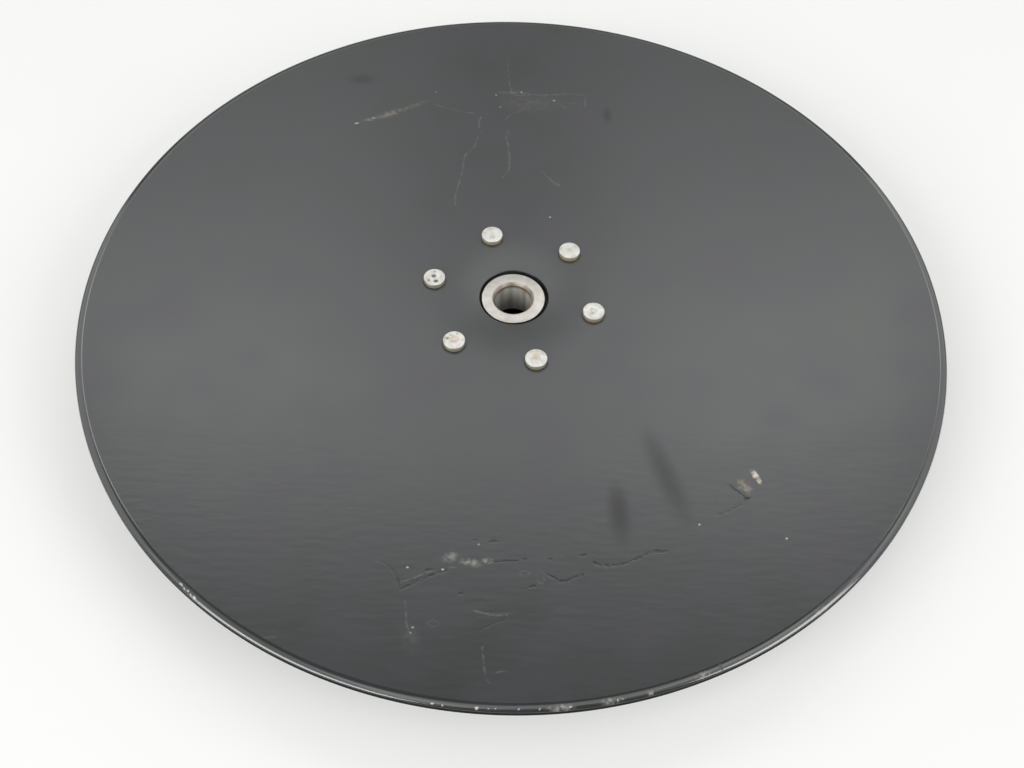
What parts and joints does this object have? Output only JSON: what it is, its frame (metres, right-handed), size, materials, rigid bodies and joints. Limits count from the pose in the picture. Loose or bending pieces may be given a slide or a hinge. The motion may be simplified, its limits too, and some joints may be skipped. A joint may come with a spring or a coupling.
{
  "type": "planter opening disc",
  "caption": "Flat round opener blade with a sealed ball bearing in a riveted pressed housing and a dust cap over the hub.",
  "frame": {"origin": "on the bearing axis, at the surface that the dust cap rests on", "axes": "+Z along the bearing axis and out of the blade's flat inner face, as the disc lies in the picture; X and Y are in the blade's plane, X to the right and Y away from the viewer of the picture"},
  "size_m": [0.3809, 0.381, 0.0327],
  "materials": {
    "blade_paint": "satin",
    "zinc_plate": "satin",
    "black_plastic": "matt",
    "bearing_steel": "ground",
    "seal_rubber": "matt",
    "cage_steel": "pressed",
    "rivet_steel": "zinc plated",
    "ball_steel": "polished"
  },
  "bodies": {
    "axle_side": {"inner_ring": "bearing_steel"},
    "disc": {"blade": "blade_paint", "bearing_housing": "zinc_plate", "dust_cap": "black_plastic", "outer_ring": "bearing_steel", "seal_upper": "seal_rubber", "seal_lower": "seal_rubber", "rivet_1": "rivet_steel", "rivet_2": "rivet_steel", "rivet_3": "rivet_steel", "rivet_4": "rivet_steel", "rivet_5": "rivet_steel", "rivet_6": "rivet_steel"},
    "ball_set": {"ball_1": "ball_steel", "ball_2": "ball_steel", "ball_3": "ball_steel", "ball_4": "ball_steel", "ball_5": "ball_steel", "ball_6": "ball_steel", "ball_7": "ball_steel", "ball_8": "ball_steel", "cage_upper": "cage_steel", "cage_lower": "cage_steel", "cage_rivets": "cage_steel"}
  },
  "joints": [
    {"name": "disc_spin", "type": "hinge", "parent": "axle_side", "child": "disc", "pos_m": [0, 0, 0.01875], "axis": [0, 0, 1], "continuous": true},
    {"name": "ball_set_turn", "type": "hinge", "parent": "axle_side", "child": "ball_set", "pos_m": [0, 0, 0.01875], "axis": [0, 0, 1], "continuous": true}
  ],
  "couplings": [
    {"joint": "ball_set_turn", "follows": "disc_spin", "ratio": 0.61848}
  ]
}
